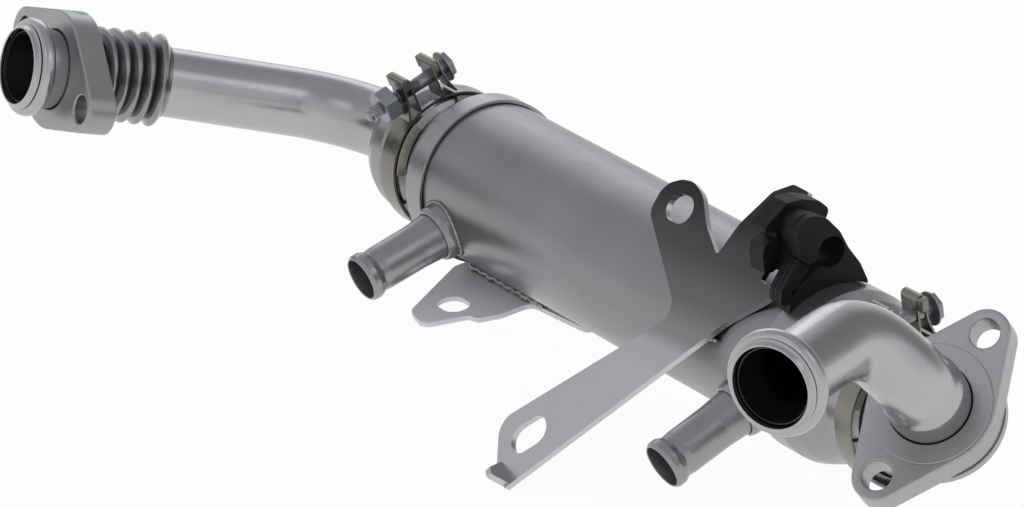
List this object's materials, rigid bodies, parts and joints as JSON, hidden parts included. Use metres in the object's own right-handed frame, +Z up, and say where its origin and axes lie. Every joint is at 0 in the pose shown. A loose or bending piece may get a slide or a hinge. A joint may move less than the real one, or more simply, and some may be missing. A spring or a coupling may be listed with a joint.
{
  "type": "egr cooler",
  "caption": "Tubular gas to coolant heat exchanger with clamped gas pipes, oval flanges, a bellows, coolant stubs, a flat mounting bracket and a line clip.",
  "frame": {"origin": "a point on the outer face of the mounting bracket, between its eye and its arm", "axes": "+X along the cooler's axis towards the outlet end, +Z up, and the brackets and coolant stubs face -Y"},
  "size_m": [0.5464, 0.1777, 0.1383],
  "materials": {
    "stainless_satin": "satin stainless steel, rolled and pressed",
    "clamp_steel": "warm grey stainless strip",
    "bolt_zinc": "dull zinc plated",
    "graphite_gasket": "matte graphite",
    "black_plastic": "moulded satin black"
  },
  "bodies": {
    "root": {"baffle_1": "stainless_satin", "baffle_2": "stainless_satin", "bracket_weld_lower": "stainless_satin", "bracket_weld_upper": "stainless_satin", "coolant_inlet_collar": "stainless_satin", "coolant_inlet_stub": "stainless_satin", "coolant_outlet_collar": "stainless_satin", "coolant_outlet_stub": "stainless_satin", "cooler_shell": "stainless_satin", "gas_tube_01": "stainless_satin", "gas_tube_02": "stainless_satin", "gas_tube_03": "stainless_satin", "gas_tube_04": "stainless_satin", "gas_tube_05": "stainless_satin", "gas_tube_06": "stainless_satin", "gas_tube_07": "stainless_satin", "gas_tube_08": "stainless_satin", "gas_tube_09": "stainless_satin", "gas_tube_10": "stainless_satin", "gas_tube_11": "stainless_satin", "gas_tube_12": "stainless_satin", "gas_tube_13": "stainless_satin", "inlet_bellows": "stainless_satin", "inlet_cap": "stainless_satin", "inlet_cup": "stainless_satin", "inlet_flange": "stainless_satin", "inlet_liner": "stainless_satin", "inlet_pipe": "stainless_satin", "inlet_stub": "stainless_satin", "inlet_tube_plate": "stainless_satin", "lower_bracket": "stainless_satin", "lower_bracket_weld": "stainless_satin", "mounting_bracket": "stainless_satin", "outlet_cap": "stainless_satin", "outlet_elbow_casting": "stainless_satin", "outlet_flange": "stainless_satin", "outlet_liner": "stainless_satin", "outlet_swan_neck": "stainless_satin", "outlet_tube_plate": "stainless_satin", "inlet_clamp_segment_1": "clamp_steel", "inlet_clamp_segment_2": "clamp_steel", "inlet_clamp_segment_3": "clamp_steel", "inlet_clamp_strap": "clamp_steel", "outlet_clamp_segment_1": "clamp_steel", "outlet_clamp_segment_2": "clamp_steel", "outlet_clamp_segment_3": "clamp_steel", "outlet_clamp_strap": "clamp_steel", "inlet_clamp_bolt": "bolt_zinc", "inlet_clamp_nut": "bolt_zinc", "outlet_clamp_bolt": "bolt_zinc", "outlet_clamp_nut": "bolt_zinc", "inlet_clamp_gasket": "graphite_gasket", "outlet_clamp_gasket": "graphite_gasket", "line_clip": "black_plastic"}
  },
  "joints": []
}
